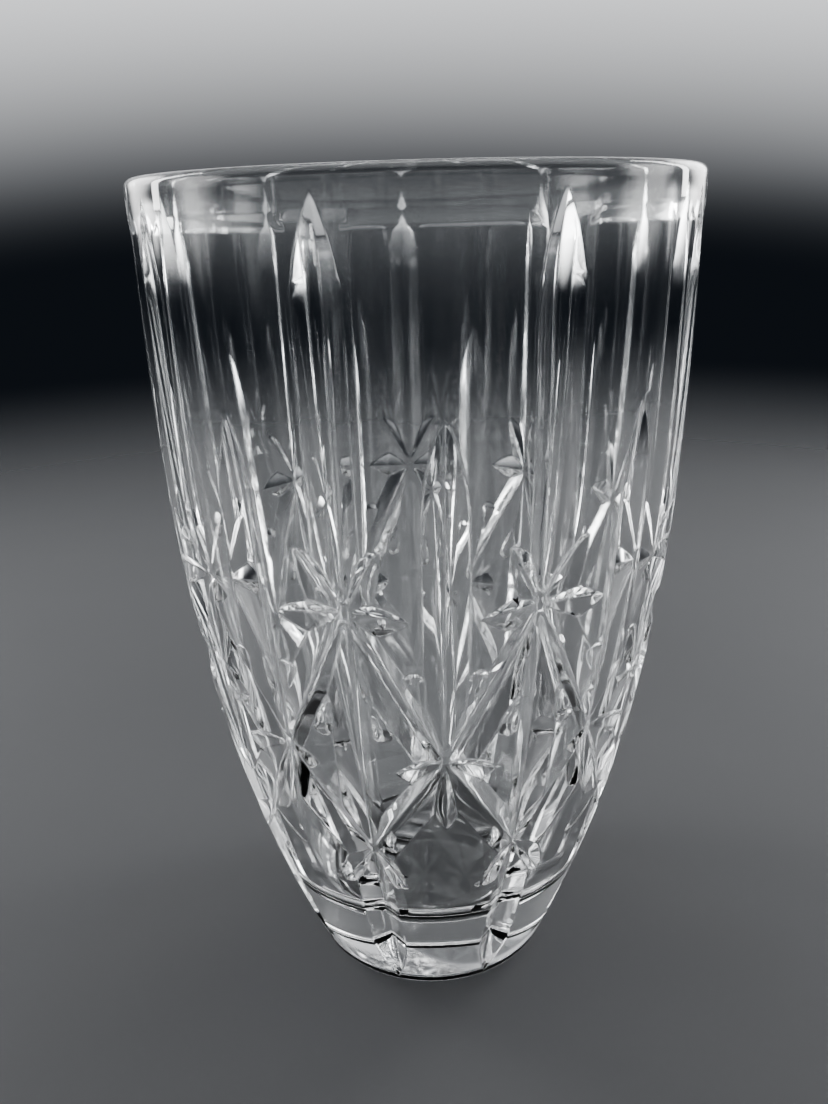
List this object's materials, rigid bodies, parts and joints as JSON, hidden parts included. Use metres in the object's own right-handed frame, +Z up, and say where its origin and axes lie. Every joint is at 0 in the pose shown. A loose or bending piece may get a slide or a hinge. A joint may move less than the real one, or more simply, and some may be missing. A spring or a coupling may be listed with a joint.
{
  "type": "cut crystal vase",
  "caption": "Tall round clear crystal vase with an open mouth, a thick solid foot and deep V cuts that form columns of stars, lancets, diamonds and teardrops.",
  "frame": {"origin": "centre of the foot, on the plane that the vase stands on", "axes": "+Z up along the axis of the vase; a middle star of the cut pattern faces -Y"},
  "size_m": [0.144, 0.144, 0.2286],
  "materials": {
    "crystal": "clear polished lead crystal"
  },
  "bodies": {
    "root": {"vase_body": "crystal"}
  },
  "joints": []
}
